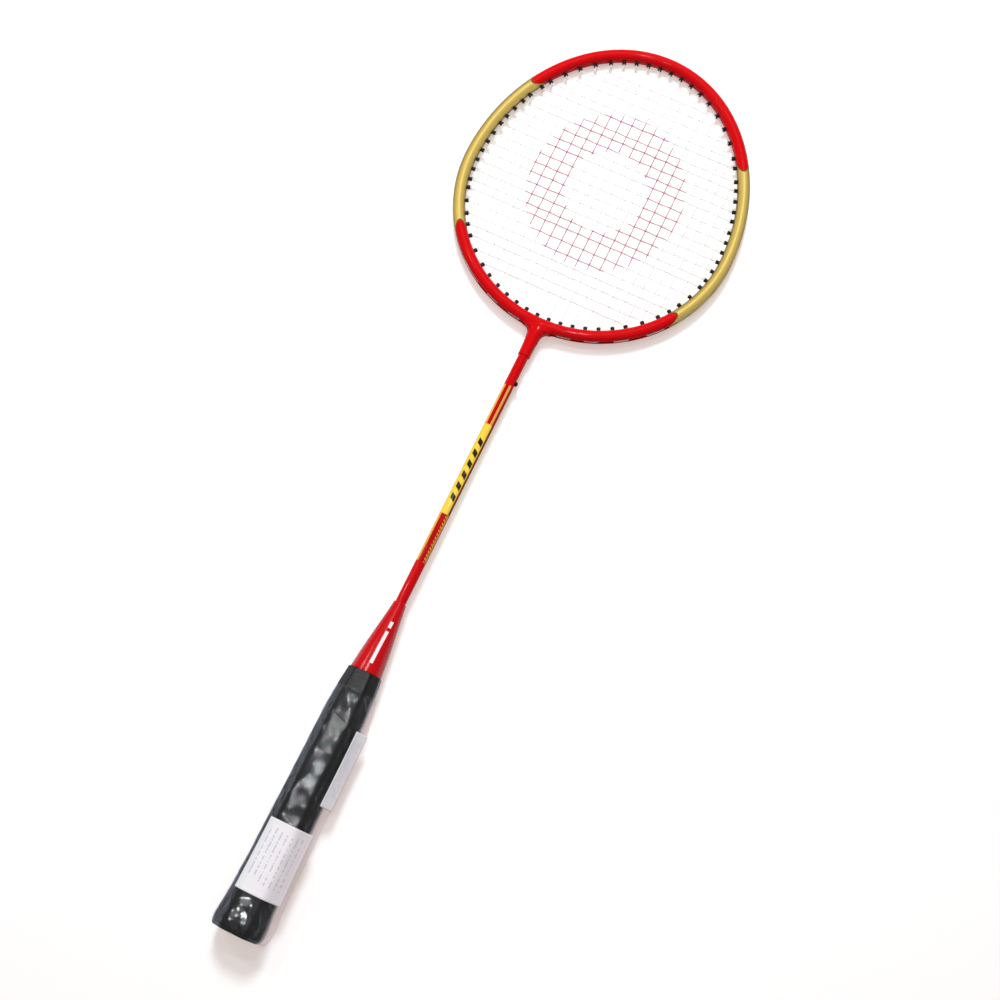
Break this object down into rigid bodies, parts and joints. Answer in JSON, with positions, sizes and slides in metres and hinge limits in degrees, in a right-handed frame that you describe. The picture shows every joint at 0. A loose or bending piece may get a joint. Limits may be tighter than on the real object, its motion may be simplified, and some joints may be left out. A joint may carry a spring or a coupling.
{
  "type": "badminton racket",
  "caption": "Badminton racket with an oval tubular hoop, T-joint, slim steel shaft, tapered cone and wrapped octagonal grip, strung and still in its grip film.",
  "frame": {"origin": "centre of the butt's end face, on the axis of the grip and shaft", "axes": "+Y along the axis from the butt to the hoop's tip, +X across the string bed, +Z square to the string bed"},
  "size_m": [0.2044, 0.6697, 0.0318],
  "materials": {
    "hoop_paint": "glossy red lacquer with two gold bands",
    "joint_paint": "glossy red lacquer",
    "shaft_paint": "glossy red lacquer with a gold sleeve pattern",
    "cone_plastic": "glossy moulded red",
    "pin_black": "satin black",
    "handle_wood": "bare turned softwood",
    "cap_vinyl": "grained black vinyl",
    "staple_steel": "bright wire",
    "grip_leather": "smooth black synthetic grip tape, slight sheen",
    "closing_vinyl": "black finishing tape",
    "film_clear": "clear shrink film",
    "label_paper": "white coated paper, blank",
    "string_nylon": "white nylon, a ring inked crimson",
    "grommet_nylon": "satin black nylon"
  },
  "bodies": {
    "root": {"head_frame": "hoop_paint", "t_joint": "joint_paint", "stem_pin": "pin_black", "shaft": "shaft_paint", "cone": "cone_plastic", "handle": "handle_wood", "butt_cap": "cap_vinyl", "butt_staples": "staple_steel", "grip_tape": "grip_leather", "closing_tape": "closing_vinyl", "grip_film": "film_clear", "front_label": "label_paper", "side_label": "label_paper", "main_string": "string_nylon", "cross_string": "string_nylon", "string_knots": "string_nylon", "grommets_top": "grommet_nylon", "grommets_bottom": "grommet_nylon", "grommets_left": "grommet_nylon", "grommets_right": "grommet_nylon", "grommets_throat": "grommet_nylon", "grommets_shared": "grommet_nylon", "grommets_tie_off": "grommet_nylon"}
  },
  "joints": []
}
